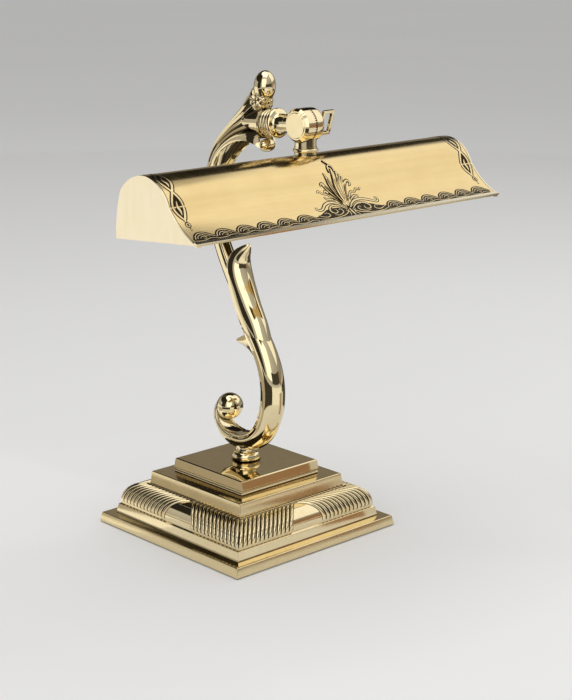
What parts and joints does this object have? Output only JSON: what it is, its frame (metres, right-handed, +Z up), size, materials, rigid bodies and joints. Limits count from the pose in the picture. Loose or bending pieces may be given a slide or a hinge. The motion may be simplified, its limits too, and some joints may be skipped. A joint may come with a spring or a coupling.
{
  "type": "piano lamp",
  "caption": "Traditional brass piano lamp: square stepped base, scrolled stem with acanthus head, and a trough shade that tilts on a clamped knuckle.",
  "frame": {"origin": "centre of the underside of the felt pad, where the lamp stands", "axes": "+Z up, X along the shade, -Y towards the side that the shade's lip faces, metres"},
  "size_m": [0.345, 0.2363, 0.4107],
  "materials": {
    "cast_brass": "polished and lacquered",
    "sheet_brass": "satin, lacquered",
    "steel": "zinc plated",
    "ballast_iron": "rough casting",
    "felt": "felt",
    "fibre": "vulcanised fibre",
    "moulded_resin": "moulded, semi-gloss",
    "lead_sleeve": "extruded sleeve",
    "lamp_cap_metal": "rolled thread shell",
    "lamp_glass": "clear",
    "lamp_mount_glass": "pressed glass stem with filament"
  },
  "bodies": {
    "stand": {"felt_pad": "felt", "bottom_cover": "steel", "cover_screws": "steel", "base_plinth": "cast_brass", "base_moulding": "cast_brass", "base_step_block": "cast_brass", "base_top_plate": "cast_brass", "ballast_block": "ballast_iron", "tie_tube": "cast_brass", "tie_washer": "steel", "tie_nut": "steel", "inlet_bush": "cast_brass", "inlet_nut": "cast_brass", "cord_clamp": "moulded_resin", "cord_clamp_screws": "steel", "terminal_block": "moulded_resin", "terminal_screws": "cast_brass", "earth_terminal": "steel", "stem_collar": "cast_brass", "scroll_stem": "cast_brass", "scroll_ball": "cast_brass", "acanthus_head": "cast_brass", "head_bud": "cast_brass", "head_curl": "cast_brass", "arm_boss": "cast_brass", "arm_lead": "lead_sleeve", "knuckle_arm_half": "cast_brass", "drum_cap": "cast_brass", "clamp_screw": "steel", "friction_washer": "fibre", "spring_washer": "steel"},
    "shade": {"knuckle_shade_half": "cast_brass", "shade_nipple": "cast_brass", "nipple_nut": "cast_brass", "saddle_washer": "cast_brass", "shade_lead": "lead_sleeve", "shade_shell": "sheet_brass", "end_cap_left": "sheet_brass", "end_cap_right": "sheet_brass", "lip_bead": "sheet_brass", "lamp_bracket": "steel", "lead_splice": "moulded_resin", "holder_nuts": "cast_brass", "lamp_filaments": "lamp_mount_glass", "lampholder_left": "moulded_resin", "lampholder_right": "moulded_resin", "lamp_cap_left": "lamp_cap_metal", "lamp_cap_right": "lamp_cap_metal", "lamp_glass_left": "lamp_glass", "lamp_glass_right": "lamp_glass", "lamp_lead_left": "lead_sleeve", "lamp_lead_right": "lead_sleeve"},
    "key": {"wing_key": "cast_brass"}
  },
  "joints": [
    {"name": "shade_tilt", "type": "hinge", "parent": "stand", "child": "shade", "pos_m": [0, -0.0765, 0.3697], "axis": [-1, 0, 0], "range_deg": [-12, 70]},
    {"name": "key_turn", "type": "hinge", "parent": "stand", "child": "key", "pos_m": [0, -0.0765, 0.3697], "axis": [1, 0, 0], "range_deg": [0, 180]}
  ]
}
